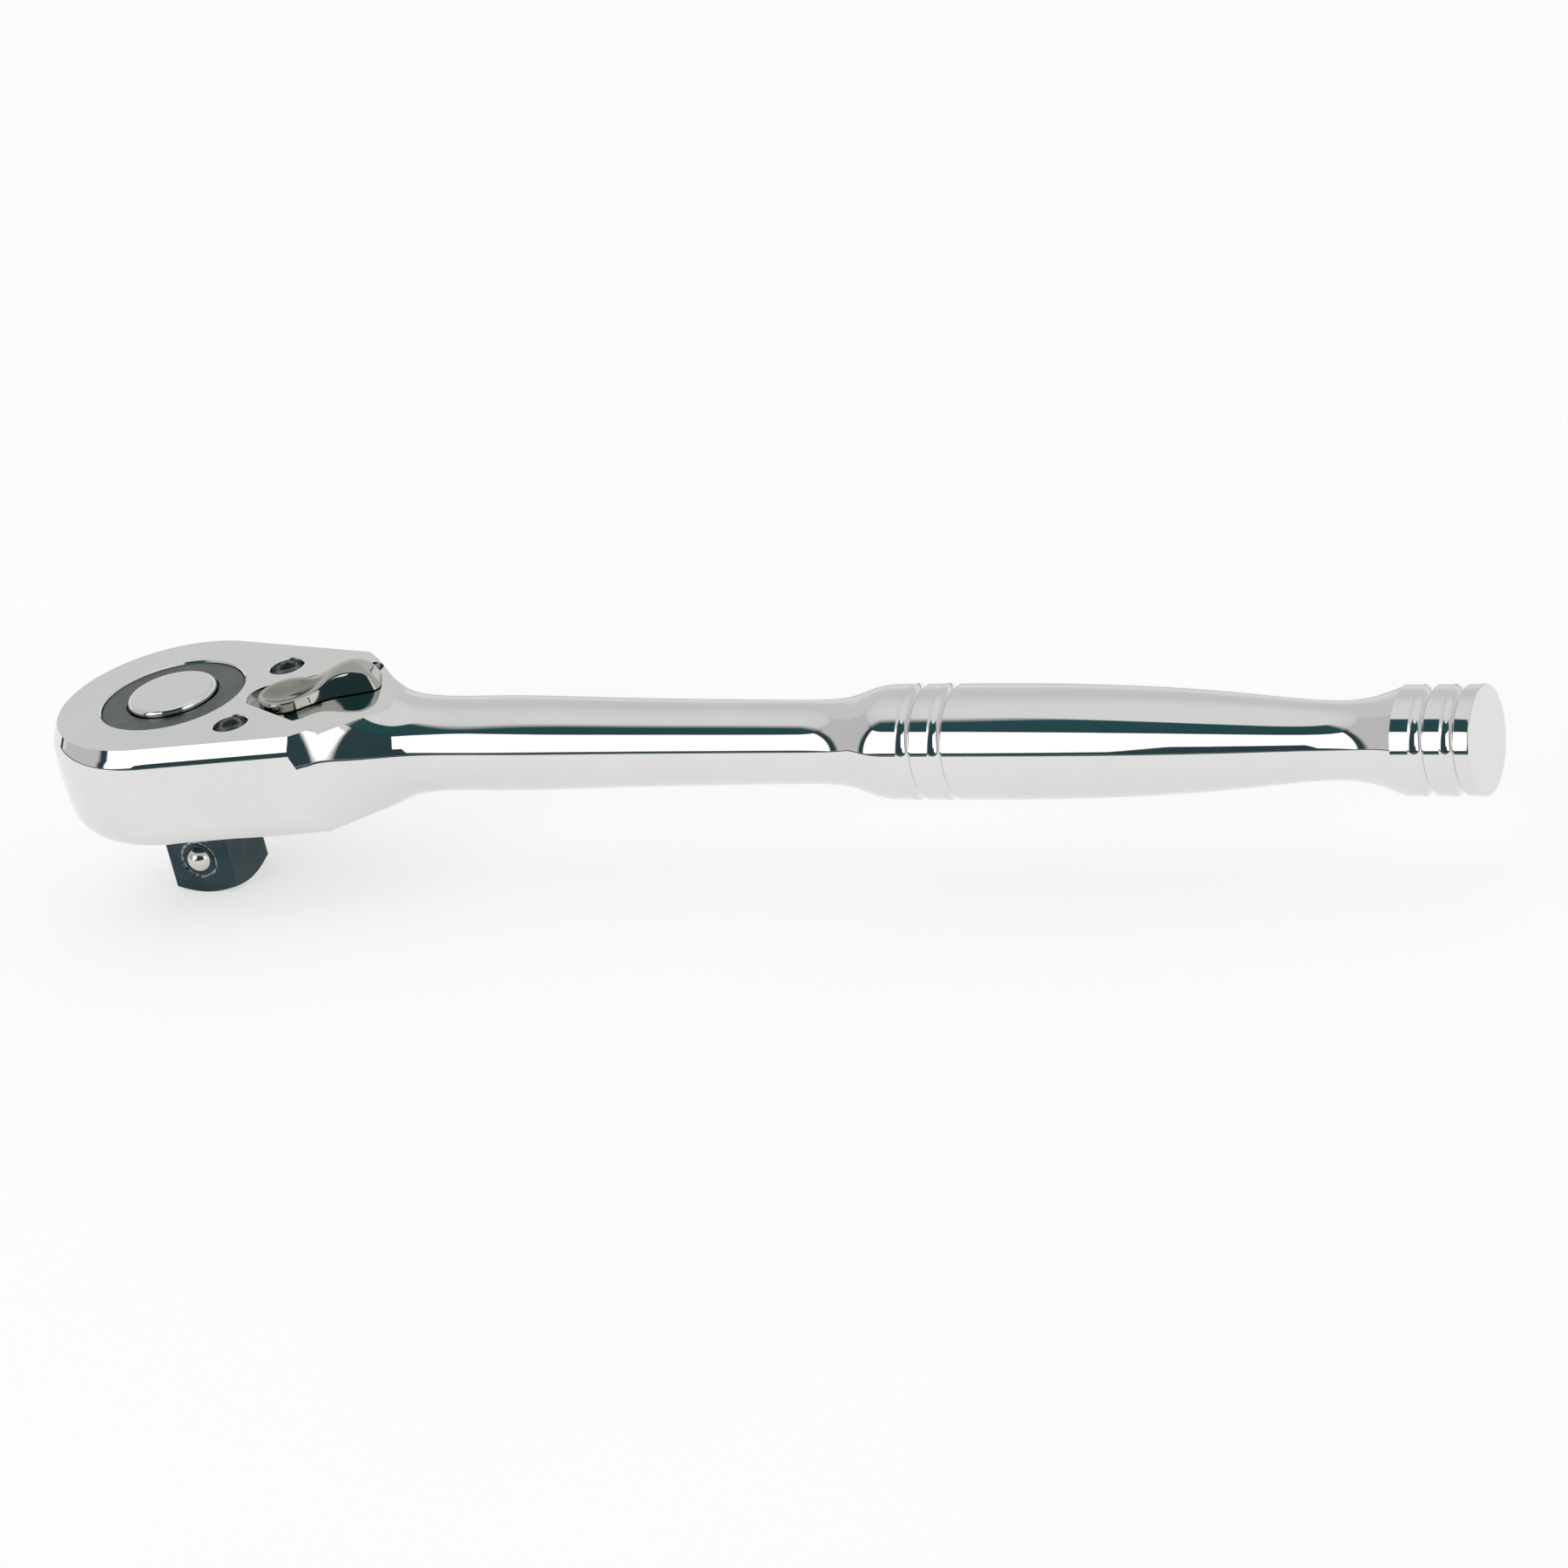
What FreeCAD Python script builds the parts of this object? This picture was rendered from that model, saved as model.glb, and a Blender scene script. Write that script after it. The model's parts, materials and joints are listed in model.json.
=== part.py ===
import FreeCAD, Part
import math
import os

# Reversible 3/8 in drive ratchet wrench with a quick-release button.
# Frame, in millimetres: the origin is the centre of the drive square's end face, +Z runs up the
# drive axis to the button, and +X runs along the handle. A depth is measured down from the
# head's top face.

# Overall
TOP_Z = 27.7                # top face of the head
HEAD_T = 15.6               # thickness of the head
HANDLE_Z = TOP_Z - 7.4      # axis of the handle
LENGTH = 185.0              # drive axis to the end of the handle
REACH = 60.0                # size of a block that is larger than the head

# Head
TOP_R = 16.0                # top face, about the drive axis
KNEE_R = 16.69              # the top chamfer is straight down to here
KNEE_D = 1.2
CHAMFER_R = 17.22           # foot of the top chamfer, rounded into the side wall
CHAMFER_D = 3.0
BELLY_R = 17.32             # widest point of the side wall
FOOT_R = 17.12              # where the bottom edge starts to turn in
BOTTOM_ROUND = 4.7          # radius of the bottom edge
TAPER = 9.5                 # each side of the head turns in by this angle, degrees
SHOULDER_X = 24.3           # the turned neck starts to trim the head
NECK_START_R = 14.3
DECK_D = 0.9                # milled flat behind the lever
DECK_RAMP_X = 26.4
DECK_START_X = 27.8
DECK_END_X = 34.9
HEEL_X = 24.7               # the underside steps up to the neck behind this
HEEL_D = 14.8               # depth of the neck's underside

# Gear train
TEETH = 72
GEAR_TIP_R = 12.0
GEAR_ROOT_R = 11.55
TIP_HALF = 0.15             # half angle of a tooth's tip, degrees
ROOT_HALF = 0.35            # half angle of a gap's floor, degrees
GEAR_TOP_D = 3.7
GEAR_BOTTOM_D = 12.9
HUB_R = 9.87
HUB_TOP_D = 0.3
BORE_EDGE = 0.22            # chamfer of the bore round the hub
HUB_SEAL_D = 2.1            # middle of the hub's seal groove
LOWER_HUB_R = 9.0
FIT = 0.06                  # radial clearance of a running fit
CAVITY_R = 12.3
CAVITY_TOP_D = 3.2
PLATE_D = 13.4              # top of the retaining plate

# Drive square and its detent
SQUARE = 9.53
SQUARE_TURN_R = 6.55        # the corners are turned to this radius
SQUARE_END_R = 4.6          # flat of the turned end
SQUARE_END_H = 0.85
BALL_R = 2.0
BALL_Y = -4.0
BALL_Z = 5.0
BALL_CLEAR = 0.04
STAKE_IN_R = 2.35
STAKE_OUT_R = 2.75
STAKE_DEPTH = 0.12

# Quick-release button and pin
BUTTON_R = 6.38             # flange
BUTTON_RISE = 0.7
BUTTON_EDGE = 0.7
BUTTON_FOOT_D = 3.0
BUTTON_WEB_D = 2.0
BUTTON_TRAVEL = 2.2
BUTTON_WELL_R = 6.45
BUTTON_WELL_D = 5.4
CLIP_TOP_D = 1.2            # open ring that holds the button in
CLIP_BOTTOM_D = 1.8
CLIP_GAP = 0.05
BUTTON_NECK_R = 6.18        # the button inside that ring, above its flange
BUTTON_FLANGE_D = 1.88
SPRING_WELL_R = 3.3
SPRING_WELL_D = 10.0
PIN_R = 1.78
PIN_STEM_R = 1.2
PIN_WAIST_R = 0.78
PIN_WAIST_TOP_Z = 9.6
PIN_CONE_TOP_Z = 11.0
PIN_END_Z = 3.2
PIN_BORE_END_Z = 0.8
WIRE_FLATS = 12             # sides of a spring wire's section

# Reverse lever, spindle and pawl
PIVOT_X = 18.0
LEVER_REST = 27.0           # the lever is stored swung towards +Y, degrees
PAWL_SWING = 10.0           # from one dog in mesh to the other, degrees
SPINDLE_R = 3.0
SPINDLE_END_D = 13.2
SPINDLE_STUB_R = 2.0
SPINDLE_STUB_D = 0.25
LEVER_FOOT_D = 0.75
LEVER_HUB_R = 4.1
LEVER_HUB_RISE = 0.55
LEVER_EDGE = 0.25           # rounding of the wing's upper edges
LEVER_END = 12.6            # pivot to the end of the wing, at its foot
LEVER_HALF = 3.2            # half width of the wing's foot
LEVER_WAIST = 2.6
LEVER_CORNER = 1.25
LEVER_RISE = 2.3
LEVER_LEAN = 1.15           # how far the wing's sides lean in over their full height
CHAMBER_HALF = 6.45
CHAMBER_TOP_D = 5.9
CHAMBER_END_X = 22.6
PAWL_TOP_D = 6.8
PAWL_BOTTOM_D = 12.7
PAWL_HALF = 5.5
PLUNGER_D = 9.8
PLUNGER_R = 1.05
PLUNGER_TIP = 3.55
PLUNGER_BACK = 0.2
PLUNGER_BORE_BACK = -2.3

# Plate screws
SCREW_X = 13.5
SCREW_Y = 8.2
SCREW_WELL_R = 2.35
SCREW_WELL_D = 5.2
SCREW_HEAD_R = 2.2
SCREW_HEAD_H = 3.2
SCREW_R = 1.25
SCREW_HOLE_R = 1.35
SCREW_END_D = 15.0

UP = FreeCAD.Vector(0, 0, 1)


def at(x, y, z):
    return FreeCAD.Vector(x, y, z)


def deep(depth):
    """Height of a point that lies this far below the head's top face."""
    return TOP_Z - depth


def disc(radius, low_d, high_d, x=0.0, y=0.0):
    """Upright cylinder from the lower depth low_d up to the depth high_d."""
    return Part.makeCylinder(radius, low_d - high_d, at(x, y, deep(low_d)))


def ring(inner, outer, low_d, high_d, x=0.0, y=0.0):
    return disc(outer, low_d, high_d, x, y).cut(disc(inner, low_d, high_d, x, y))


def block(x0, x1, y0, y1, z0, z1):
    return Part.makeBox(x1 - x0, y1 - y0, z1 - z0, at(x0, y0, z0))


def line(a, b):
    return Part.LineSegment(a, b).toShape()


def arc(a, b, c):
    return Part.Arc(a, b, c).toShape()


def bezier(*points):
    curve = Part.BezierCurve()
    curve.setPoles(list(points))
    return curve.toShape()


def polygon(points):
    return Part.Face(Part.makePolygon(points + points[:1]))


def turn_about_pivot(shape, degrees):
    shape.rotate(at(PIVOT_X, 0, 0), UP, degrees)
    return shape


# Outer form of the forging

def head_section():
    """Half section of the head: flat top, steep rounded chamfer, bellied wall and rounded bottom edge."""
    foot_z = deep(HEAD_T - BOTTOM_ROUND)
    turn = BOTTOM_ROUND * math.sqrt(0.5)
    rim = at(TOP_R, 0, TOP_Z)
    knee = at(KNEE_R, 0, deep(KNEE_D))
    chamfer = at(CHAMFER_R, 0, deep(CHAMFER_D))
    foot = at(FOOT_R, 0, foot_z)
    low = at(FOOT_R - BOTTOM_ROUND, 0, deep(HEAD_T))
    edges = [
        line(at(0, 0, TOP_Z), rim),
        line(rim, knee),
        arc(knee, at(17.06, 0, deep(2.07)), chamfer),
        arc(chamfer, at(BELLY_R, 0, deep(6.2)), foot),
        arc(foot, at(FOOT_R - BOTTOM_ROUND + turn, 0, foot_z - turn), low),
        line(low, at(0, 0, deep(HEAD_T))),
        line(at(0, 0, deep(HEAD_T)), at(0, 0, TOP_Z)),
    ]
    return Part.Face(Part.Wire(edges))


def head_prism():
    """Round nose and two straight tapering sides, run on past the shoulder."""
    section = head_section()
    section.rotate(at(0, 0, 0), UP, 90 - TAPER)
    nose = section.revolve(at(0, 0, 0), UP, 180 + 2 * TAPER)
    slope = math.radians(TAPER)
    run = at(math.cos(slope), -math.sin(slope), 0) * 42.0
    side = section.extrude(run)
    other = side.mirror(at(0, 0, 0), at(0, 1, 0))
    return nose.fuse([side, other]).removeSplitter()


def groove(x0, x1, radius, depth):
    """One round-bottomed groove of the handle's profile."""
    return arc(on_handle(x0, radius), on_handle((x0 + x1) / 2, radius - depth), on_handle(x1, radius))


def on_handle(x, radius):
    return at(x, 0, HANDLE_Z + radius)


def handle_turning():
    """Flared neck, tapering shank, waisted grip and end knob, turned about the handle's axis."""
    neck = Part.BSplineCurve()
    neck.interpolate(Points=[
        on_handle(SHOULDER_X, NECK_START_R), on_handle(26.6, 12.6), on_handle(28, 11.35),
        on_handle(30, 9.65), on_handle(32, 8.35), on_handle(34, 7.42), on_handle(36, 6.8),
        on_handle(38.5, 6.45), on_handle(48, 6.3), on_handle(65, 5.94), on_handle(80, 5.62),
        on_handle(95, 5.45),
    ], InitialTangent=at(1, 0, -0.7), FinalTangent=at(1, 0, 0))
    grip_r = 7.4
    knob_r = 6.85
    knob_end_r = 6.67
    edges = [
        neck.toShape(),
        bezier(on_handle(95, 5.45), on_handle(102.3, 5.45), on_handle(102, grip_r), on_handle(107, grip_r)),
        line(on_handle(107, grip_r), on_handle(109.1, grip_r)),
        groove(109.1, 111.1, grip_r, 0.4),
        line(on_handle(111.1, grip_r), on_handle(113.5, grip_r)),
        groove(113.5, 115.5, grip_r, 0.4),
        line(on_handle(115.5, grip_r), on_handle(118, grip_r)),
        bezier(on_handle(118, grip_r), on_handle(150, grip_r), on_handle(158, 4.95), on_handle(166, 4.95)),
        bezier(on_handle(166, 4.95), on_handle(170, 4.95), on_handle(172, 5.85), on_handle(174.9, knob_r)),
        line(on_handle(174.9, knob_r), on_handle(177.2, knob_r)),
        groove(177.2, 179.2, knob_r, 0.42),
        line(on_handle(179.2, knob_r), on_handle(181.2, knob_r)),
        groove(181.2, 183.1, knob_r, 0.42),
        line(on_handle(183.1, knob_r), on_handle(184.75, knob_r)),
        arc(on_handle(184.75, knob_r), on_handle(184.93, 6.79), on_handle(LENGTH, knob_end_r)),
        line(on_handle(LENGTH, knob_end_r), on_handle(LENGTH, 0)),
        line(on_handle(LENGTH, 0), on_handle(SHOULDER_X, 0)),
        line(on_handle(SHOULDER_X, 0), on_handle(SHOULDER_X, NECK_START_R)),
    ]
    return Part.Face(Part.Wire(edges)).revolve(on_handle(0, 0), at(1, 0, 0), 360)


def forging():
    """Outer form of head and handle, with the flat deck milled behind the lever."""
    turning = handle_turning()
    before = block(-REACH, SHOULDER_X, -REACH, REACH, -REACH, REACH)
    near = block(SHOULDER_X - 1, 38, -REACH, REACH, -REACH, REACH)
    prism = head_prism()
    head = prism.common(before)
    neck = prism.common(turning.common(near))
    shank = turning.cut(near)
    deck = polygon([
        at(DECK_RAMP_X, -REACH / 2, TOP_Z), at(DECK_START_X, -REACH / 2, deep(DECK_D)),
        at(DECK_END_X, -REACH / 2, deep(DECK_D)), at(DECK_END_X, -REACH / 2, TOP_Z + 8),
        at(DECK_RAMP_X, -REACH / 2, TOP_Z + 8),
    ]).extrude(at(0, REACH, 0))
    heel = polygon([
        at(HEEL_X, -REACH / 2, deep(HEAD_T)), at(HEEL_X + 1.9, -REACH / 2, deep(HEEL_D)),
        at(38, -REACH / 2, deep(HEEL_D)), at(38, -REACH / 2, deep(HEAD_T + 8)),
        at(HEEL_X, -REACH / 2, deep(HEAD_T + 8)),
    ]).extrude(at(0, REACH, 0))
    return head.fuse([neck, shank]).removeSplitter().cut([deck, heel])


def plate_outline(grow):
    """Pear-shaped prism of the retaining plate, larger all round by grow."""
    big, small, small_x = 13.6 + grow, 10.0 + grow, 14.5
    lean = math.asin((big - small) / small_x)
    high, depth = deep(PLATE_D), 4.0
    corners = []
    for cx, radius, side in ((0, big, 1), (small_x, small, 1), (small_x, small, -1), (0, big, -1)):
        corners.append(at(cx + radius * math.sin(lean), side * radius * math.cos(lean), high - depth))
    web = polygon(corners).extrude(at(0, 0, depth))
    nose = Part.makeCylinder(big, depth, at(0, 0, high - depth))
    tail = Part.makeCylinder(small, depth, at(small_x, 0, high - depth))
    return nose.fuse([web, tail]).removeSplitter()


def lever_pocket():
    """Fan-shaped recess in the top face, from a round apex out to the deck."""
    apex_x, apex_r, spread = 15.3, 3.3, math.radians(27)
    far = 29.0
    touch_x = apex_x - apex_r * math.sin(spread)
    touch_y = apex_r * math.cos(spread)
    far_y = touch_y + (far - touch_x) * math.tan(spread)
    low = deep(DECK_D)
    fan = polygon([
        at(touch_x, touch_y, low), at(far, far_y, low), at(far, -far_y, low), at(touch_x, -touch_y, low),
    ]).extrude(at(0, 0, 3))
    return fan.fuse(disc(apex_r, DECK_D, -2, apex_x))


def body():
    shape = forging()
    cuts = [
        disc(HUB_R + 0.08, CAVITY_TOP_D + 0.1, -1),
        Part.makeCone(HUB_R + 0.08, HUB_R + 0.08 + BORE_EDGE, BORE_EDGE, at(0, 0, deep(BORE_EDGE))),
        disc(CAVITY_R, PLATE_D + 0.1, CAVITY_TOP_D),
        plate_outline(0.03),
        block(8, CHAMBER_END_X, -CHAMBER_HALF, CHAMBER_HALF, deep(PLATE_D + 0.1), deep(CHAMBER_TOP_D)),
        lever_pocket(),
        disc(SPINDLE_R + FIT, CHAMBER_TOP_D + 0.1, -1, PIVOT_X),
    ]
    for side in (-1, 1):
        cuts.append(disc(SCREW_WELL_R, SCREW_WELL_D, -1, SCREW_X, side * SCREW_Y))
        cuts.append(disc(SCREW_HOLE_R, PLATE_D + 0.1, SCREW_WELL_D - 0.1, SCREW_X, side * SCREW_Y))
    return shape.cut(cuts)


def retaining_plate():
    shape = plate_outline(0).common(head_prism())
    shape = shape.cut(disc(LOWER_HUB_R + FIT, HEAD_T + 1, PLATE_D - 1))
    for side in (-1, 1):
        shape = shape.cut(disc(SCREW_R + 0.02, SCREW_END_D + 0.1, PLATE_D - 1, SCREW_X, side * SCREW_Y))
    return shape


def plate_screws():
    """The two socket-head screws, reached from the top face."""
    top_d = SCREW_WELL_D - SCREW_HEAD_H
    screws = []
    for side in (-1, 1):
        y = side * SCREW_Y
        head = disc(SCREW_HEAD_R, SCREW_WELL_D - 0.02, top_d, SCREW_X, y)
        head = head.makeChamfer(0.25, [e for e in head.Edges if e.BoundBox.ZMin > deep(top_d) - 0.01])
        shank = disc(SCREW_R, SCREW_END_D, SCREW_WELL_D - 0.5, SCREW_X, y)
        corners = []
        for k in range(6):
            angle = math.radians(60 * k + 15)
            corners.append(at(SCREW_X + 1.2 * math.cos(angle), y + 1.2 * math.sin(angle), deep(top_d + 1.3)))
        socket = polygon(corners).extrude(at(0, 0, 3))
        screws.append(head.fuse(shank).cut(socket).removeSplitter())
    return Part.makeCompound(screws)


# Gear and drive square

def gear_teeth(grow, low_d, high_d):
    """Toothed disc. Growing it by a clearance makes the shape that cuts a mating dog."""
    step = 360.0 / TEETH
    widen = math.degrees(grow / GEAR_TIP_R)
    points = []
    for k in range(TEETH):
        middle = k * step
        for radius, angle in (
            (GEAR_TIP_R + grow, middle - TIP_HALF - widen), (GEAR_TIP_R + grow, middle + TIP_HALF + widen),
            (GEAR_ROOT_R + grow, middle + step / 2 - ROOT_HALF + widen),
            (GEAR_ROOT_R + grow, middle + step / 2 + ROOT_HALF - widen),
        ):
            turn = math.radians(angle)
            points.append(at(radius * math.cos(turn), radius * math.sin(turn), deep(low_d)))
    return polygon(points).extrude(at(0, 0, low_d - high_d))


def drive_square():
    """Square shank with turned corners and a turned end."""
    half = SQUARE / 2
    top = deep(HEAD_T - 0.1)
    bar = block(-half, half, -half, half, 0, top)
    turned = polygon([
        at(0, 0, 0), at(SQUARE_END_R, 0, 0), at(SQUARE_TURN_R, 0, SQUARE_END_H),
        at(SQUARE_TURN_R, 0, top), at(0, 0, top),
    ]).revolve(at(0, 0, 0), UP, 360)
    return bar.common(turned)


def ball_pocket():
    """Cross hole for the ball, closing over it at the face so that the ball stays in."""
    along = at(0, -1, 0)
    hole = Part.makeCylinder(BALL_R + BALL_CLEAR, -BALL_Y, at(0, 0, BALL_Z), along)
    seat = Part.makeSphere(BALL_R + BALL_CLEAR, at(0, BALL_Y, BALL_Z))
    face = at(0, -SQUARE / 2 + STAKE_DEPTH, BALL_Z)
    stake = Part.makeCylinder(STAKE_OUT_R, 1, face, along).cut(Part.makeCylinder(STAKE_IN_R, 1, face, along))
    return hole.fuse([seat, stake])


def drive_gear():
    hub = disc(HUB_R, GEAR_TOP_D + 0.1, HUB_TOP_D)
    hub = hub.makeChamfer(0.12, [e for e in hub.Edges if e.BoundBox.ZMin > deep(HUB_TOP_D) - 0.01])
    lower = disc(LOWER_HUB_R, HEAD_T - 0.1, GEAR_BOTTOM_D - 0.1)
    shape = gear_teeth(0, GEAR_BOTTOM_D, GEAR_TOP_D).fuse([hub, lower, drive_square()])
    bore = Part.makeCylinder(PIN_R + FIT, TOP_Z, at(0, 0, PIN_BORE_END_Z))
    return shape.cut([
        disc(BUTTON_WELL_R, BUTTON_WELL_D, -1),
        disc(SPRING_WELL_R, SPRING_WELL_D, BUTTON_WELL_D - 0.1),
        bore,
        ball_pocket(),
        ring(8.2, LOWER_HUB_R + 1, 14.9, 14.1),
        ring(9.1, HUB_R + 1, HUB_SEAL_D + 0.4, HUB_SEAL_D - 0.4),
        disc(BUTTON_WELL_R + 0.45, CLIP_BOTTOM_D + CLIP_GAP, CLIP_TOP_D - CLIP_GAP),
    ]).removeSplitter()


def gear_seal_ring():
    return Part.makeTorus(8.62, 0.37, at(0, 0, deep(14.5)))


def hub_seal_ring():
    return Part.makeTorus(9.49, 0.36, at(0, 0, deep(HUB_SEAL_D)))


def upper_thrust_washer():
    return ring(HUB_R + 0.15, 11.9, GEAR_TOP_D - 0.05, CAVITY_TOP_D + 0.05)


def lower_thrust_washer():
    return ring(LOWER_HUB_R + 0.1, 11.9, PLATE_D - 0.06, GEAR_BOTTOM_D + 0.06)


# Quick release

def release_button():
    shape = disc(BUTTON_NECK_R, BUTTON_FOOT_D, -BUTTON_RISE)
    shape = shape.makeFillet(BUTTON_EDGE, [e for e in shape.Edges if e.BoundBox.ZMin > TOP_Z])
    shape = shape.fuse(disc(BUTTON_R, BUTTON_FOOT_D, BUTTON_FLANGE_D)).removeSplitter()
    shape = shape.cut(ring(2.15, 4.4, BUTTON_FOOT_D + 1, BUTTON_WEB_D))
    return shape.cut(disc(PIN_STEM_R, BUTTON_FOOT_D + 1, 0.6))


def button_retaining_ring():
    """Open spring ring in a groove of the hub's well, over the button's flange."""
    clip = ring(BUTTON_NECK_R + 0.07, BUTTON_WELL_R + 0.4, CLIP_BOTTOM_D, CLIP_TOP_D)
    low, high = deep(CLIP_BOTTOM_D + 1), deep(CLIP_TOP_D - 1)
    return clip.cut(block(BUTTON_NECK_R - 1, BUTTON_WELL_R + 1, -0.9, 0.9, low, high))


def release_pin():
    """Stem in the button, full bearing, waist above the ball and full radius behind it."""
    stem_z = deep(BUTTON_FOOT_D)
    points = [
        (0, deep(0.6)), (PIN_STEM_R, deep(0.6)), (PIN_STEM_R, stem_z), (PIN_R, stem_z),
        (PIN_R, PIN_CONE_TOP_Z), (PIN_WAIST_R, PIN_WAIST_TOP_Z), (PIN_WAIST_R, BALL_Z + BUTTON_TRAVEL),
        (PIN_R, BALL_Z), (PIN_R, PIN_END_Z + 0.3), (PIN_R - 0.3, PIN_END_Z), (0, PIN_END_Z),
    ]
    return polygon([at(x, 0, z) for x, z in points]).revolve(at(0, 0, 0), UP, 360)


def coil(radius, wire, height, pitch):
    """Wire on a helix that climbs from z = 0, starting at +X. The wire's section is a fine polygon."""
    path = Part.Wire(Part.makeHelix(pitch, height, radius).Edges)
    corners = []
    for k in range(WIRE_FLATS):
        angle = 2 * math.pi * k / WIRE_FLATS
        corners.append(at(radius + wire * math.cos(angle), 0, wire * math.sin(angle)))
    profile = Part.makePolygon(corners + corners[:1])
    return path.makePipeShell([profile], True, True)


def release_spring():
    """Coil round the pin, between the well's floor and the button's web."""
    wire = 0.28
    low = deep(SPRING_WELL_D) + wire + 0.02
    high = deep(BUTTON_WEB_D) - wire - 0.05
    shape = coil(2.6, wire, high - low, 1.45)
    shape.translate(at(0, 0, low))
    return shape


def detent_ball():
    return Part.makeSphere(BALL_R, at(0, BALL_Y, BALL_Z))


# Reversing mechanism

def lever_profile():
    """Side view of the lever along its own length: low hub, then the wing's rising back."""
    foot, low, high = deep(LEVER_FOOT_D), TOP_Z + LEVER_HUB_RISE, TOP_Z + LEVER_RISE
    y = -8.0
    back = at(8.7, y, high)
    brow = at(LEVER_END - 2.9, y, high - 0.12)
    toe = at(LEVER_END + 0.1, y, foot)
    edges = [
        line(at(-5, y, foot), at(-5, y, low)),
        line(at(-5, y, low), at(2.4, y, low)),
        bezier(at(2.4, y, low), at(4.6, y, low), at(5.6, y, high - 0.1), back),
        bezier(back, at(9.1, y, high), at(9.4, y, high), brow),
        bezier(brow, at(LEVER_END - 1.4, y, high - 0.5), at(LEVER_END - 0.2, y, high - 1.5), toe),
        line(toe, at(-5, y, foot)),
    ]
    return Part.Face(Part.Wire(edges)).extrude(at(0, 16, 0))


def wing_outline(z, inset):
    """Outline of the wing at one height, drawn in from its foot by inset."""
    waist, half, end = LEVER_WAIST - inset, LEVER_HALF - inset, LEVER_END - 0.6 * inset
    corner = LEVER_CORNER - 0.25 * inset
    root = LEVER_HUB_R - 0.3 - inset
    sides = []
    for side in (1, -1):
        sides.append([
            bezier(at(0.8, side * root, z), at(3.0, side * (root - 0.2), z), at(4.0, side * waist, z),
                   at(6.0, side * waist, z)),
            bezier(at(6.0, side * waist, z), at(7.6, side * waist, z), at(8.4, side * half, z),
                   at(end - corner, side * half, z)),
            arc(at(end - corner, side * half, z),
                at(end - corner * 0.293, side * (half - corner * 0.293), z),
                at(end, side * (half - corner), z)),
        ])
    tip = line(at(end, half - corner, z), at(end, corner - half, z))
    back = line(at(0.8, -root, z), at(0.8, root, z))
    return Part.Wire(Part.__sortEdges__(sides[0] + [tip] + sides[1] + [back]))


def lever_dish():
    """Teardrop hollow of the hub, pointing along the wing."""
    radius, point = LEVER_HUB_R - 0.62, 5.6
    lean = math.acos(radius / point)
    x, y = radius * math.cos(lean), radius * math.sin(lean)
    low = TOP_Z - 1.0
    tail = polygon([at(0, 0, low), at(x, -y, low), at(point, 0, low), at(x, y, low)])
    outline = tail.extrude(at(0, 0, 5)).fuse(Part.makeCylinder(radius, 5, at(0, 0, low)))
    bowl_r = 8.0
    bowl = Part.makeSphere(bowl_r, at(0.4, 0, TOP_Z + LEVER_HUB_RISE - 0.85 + bowl_r))
    return outline.removeSplitter().common(bowl)


def reverse_lever():
    """Thumb lever: dished round hub and a raised wing with leaning sides."""
    foot, crest = deep(LEVER_FOOT_D), TOP_Z + LEVER_RISE + 0.3
    wing = Part.makeLoft([wing_outline(foot, 0), wing_outline(crest, LEVER_LEAN)], True, True)
    hub = Part.makeCone(LEVER_HUB_R, LEVER_HUB_R - 0.2, 1.6, at(0, 0, foot))
    shape = wing.fuse(hub).common(lever_profile())
    brow = [e for e in shape.Edges if e.BoundBox.ZMin > TOP_Z + 1.2 and e.BoundBox.XMax > 6.2]
    shape = shape.makeFillet(LEVER_EDGE, brow)
    shape = shape.cut([lever_dish(), disc(SPINDLE_STUB_R, LEVER_FOOT_D + 0.1, SPINDLE_STUB_D)])
    shape.translate(at(PIVOT_X, 0, 0))
    return turn_about_pivot(shape, LEVER_REST)


def lever_spindle():
    """Stem pressed into the lever, with grooves for its ring and seal and a bore for the plunger."""
    shape = disc(SPINDLE_R, SPINDLE_END_D, LEVER_FOOT_D, PIVOT_X)
    shape = shape.fuse(disc(SPINDLE_STUB_R, LEVER_FOOT_D + 0.1, SPINDLE_STUB_D, PIVOT_X))
    bore = Part.makeCylinder(PLUNGER_R + 0.05, 8, at(PLUNGER_BORE_BACK, 0, 0), at(1, 0, 0))
    return shape.cut([
        ring(2.35, SPINDLE_R + 1, 3.5, 2.6, PIVOT_X),
        ring(2.5, SPINDLE_R + 1, 6.55, 5.95, PIVOT_X),
        along_plunger(bore),
    ]).removeSplitter()


def along_plunger(shape):
    """Takes a shape built along +X from the spindle's axis into the plunger's place."""
    shape.rotate(at(0, 0, 0), UP, 180 + LEVER_REST)
    shape.translate(at(PIVOT_X, 0, deep(PLUNGER_D)))
    return shape


def lever_plunger():
    nose = PLUNGER_TIP - PLUNGER_R
    rod = Part.makeCylinder(PLUNGER_R, nose - PLUNGER_BACK, at(PLUNGER_BACK, 0, 0), at(1, 0, 0))
    tip = Part.makeSphere(PLUNGER_R, at(nose, 0, 0))
    return along_plunger(rod.fuse(tip).removeSplitter())


def plunger_spring():
    wire = 0.13
    length = PLUNGER_BACK - PLUNGER_BORE_BACK - 2 * wire - 0.04
    shape = coil(0.8, wire, length, 0.55)
    shape.rotate(at(0, 0, 0), at(0, 1, 0), 90)
    shape.translate(at(PLUNGER_BORE_BACK + wire + 0.02, 0, 0))
    return along_plunger(shape)


def lever_seal_ring():
    return Part.makeTorus(2.7, 0.33, at(PIVOT_X, 0, deep(3.05)))


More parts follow.
